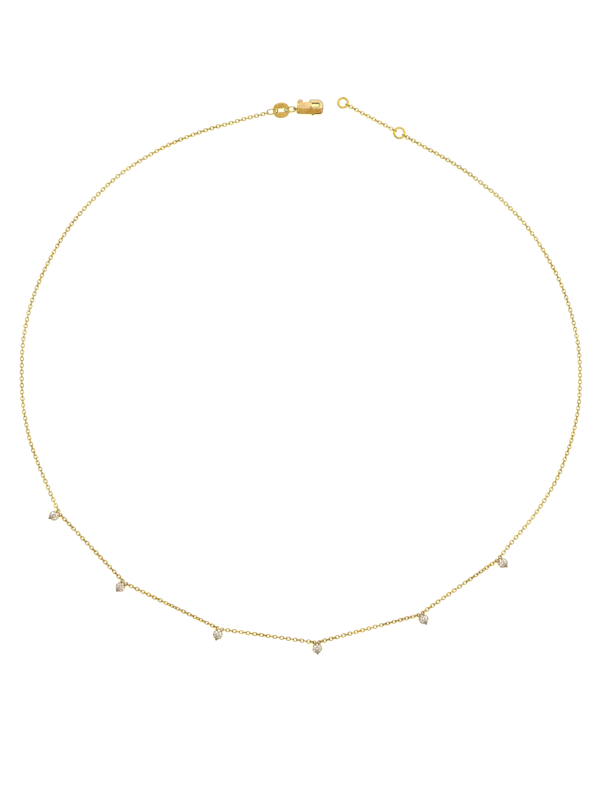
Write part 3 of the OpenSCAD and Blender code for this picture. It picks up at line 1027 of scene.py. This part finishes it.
def tail_blank():
    """The tail behind the lever's heel, which carries the eye."""
    left = 180 + math.degrees(math.acos((TAIL[0] - TAIL_X[0]) / TAIL[2]))
    outline = [
        (TAIL_X[1], TAIL_TOP),
        (TAIL_X[0], TAIL_TOP),
        *arc(*TAIL, left, TAIL_END, 10),
        *arc(HEEL[0], HEEL[1], HEEL[2] + HEEL_ROOM, HEEL_START, 180, 6),
    ]
    return plate(outline, TAIL_INSET, CLASP_T - TAIL_INSET, TAIL_RIM, 3)


def to_clasp():
    return turned(*CLASP_AT, 0, 0)


def clasp_body():
    """Cheeks, web and pin of gold with painted light, tail, eye and knob of gold with painted shade,
    with the hook, of gold with a painted highlight, and its jaw, of gold with painted shade.
    """
    (left, right), (low, high) = WEB_X, WEB_Y
    web = [(left, low), (right, low), (right, high), (left, high)]
    pin = turned_stack(PIN, 32)
    eye = ring(EYE_R, EYE_WIRE / 2, 40, 14)
    knob = turned_stack(KNOB, 32)
    lit_parts = [
        cheek_blank(0),
        cheek_blank(CLASP_T - CHEEK_T),
        plate(web, *WEB_Z, WEB_RIM, 3),
        put(pin, turned(*PIVOT, 0, 0)),
    ]
    shaded_parts = [
        tail_blank(),
        put(eye, turned(*EYE, 0, 90)),
        put(knob, turned(TIP_BUMP[0], TIP_BUMP[1], 0, 0)),
    ]
    # Painted light on the cheeks, web and pin, painted shade on the tail, eye and knob, a painted
    # highlight on the hook's nose, painted shade on the jaw
    parts = [finish(part, painted_light_gold) for part in lit_parts] + [finish(part, painted_shade_gold) for part in shaded_parts]
    parts += [finish(hook_blank(), painted_highlight_gold), finish(jaw_blank(), painted_shade_jaw_gold)]
    body = join(parts, "clasp_body")
    smooth(body, 35)
    return settle(put(body, to_clasp()), "necklace", None, "gold", "clasp_body")


def lever_blank(outline, inset, material):
    """One half of the lever, with the bore for the pin."""
    low = CHEEK_T + LEVER_GAP
    half = plate(outline, low + inset, low + LEVER_T - inset, LEVER_RIM, 6)
    bore = turned_stack([(BORE_R, 0), (BORE_R, CLASP_T)], 32)
    return finish(cut(half, put(bore, turned(*PIVOT, 0, 0))), material)


def clasp_lever():
    """The thumb tab, and the gate that closes the mouth; they meet out of sight by the pin."""
    tab = [
        *arc(*TAB, 0, 180, 24),
        (TONGUE_LEFT, TONGUE_LOW),
        (NECK[0], NECK_Y[1]),
        (NECK[0], NECK_Y[0]),
        (NECK[1], NECK_Y[0]),
        (NECK[1], GATE_Y[1]),
    ]
    gate = [
        (NECK[0], GATE_ROOT_Y),
        *arc(*HEEL, 180, 270, 12),
        (GATE_END_X, GATE_Y[0]),
        (GATE_END_X, GATE_Y[1]),
        (NECK[1], GATE_Y[1]),
        (NECK[1], GATE_ROOT_Y),
    ]
    sweep = turned_stack([(GATE_SWEEP_R, 0), (GATE_SWEEP_R, CLASP_T)], 160)
    # The gate gets the copy of the gold with painted shade, the thumb tab the copy with painted
    # light
    closing = cut(lever_blank(gate, 0.0, painted_shade_gold), put(sweep, turned(*PIVOT, 0, 0)), "INTERSECT")
    lever = join([closing, lever_blank(tab, 0.01, painted_light_tab_gold)], "clasp_lever")
    smooth(lever, 35)
    return settle(put(lever, to_clasp()), "lever", None, "gold", "clasp_lever")


clasp_body()
clasp_lever()


# Nodes of the frame whose shape is right get their finish here

for number in range(1, 7):
    finish(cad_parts[f"diamond_{number}"], diamond_clear)
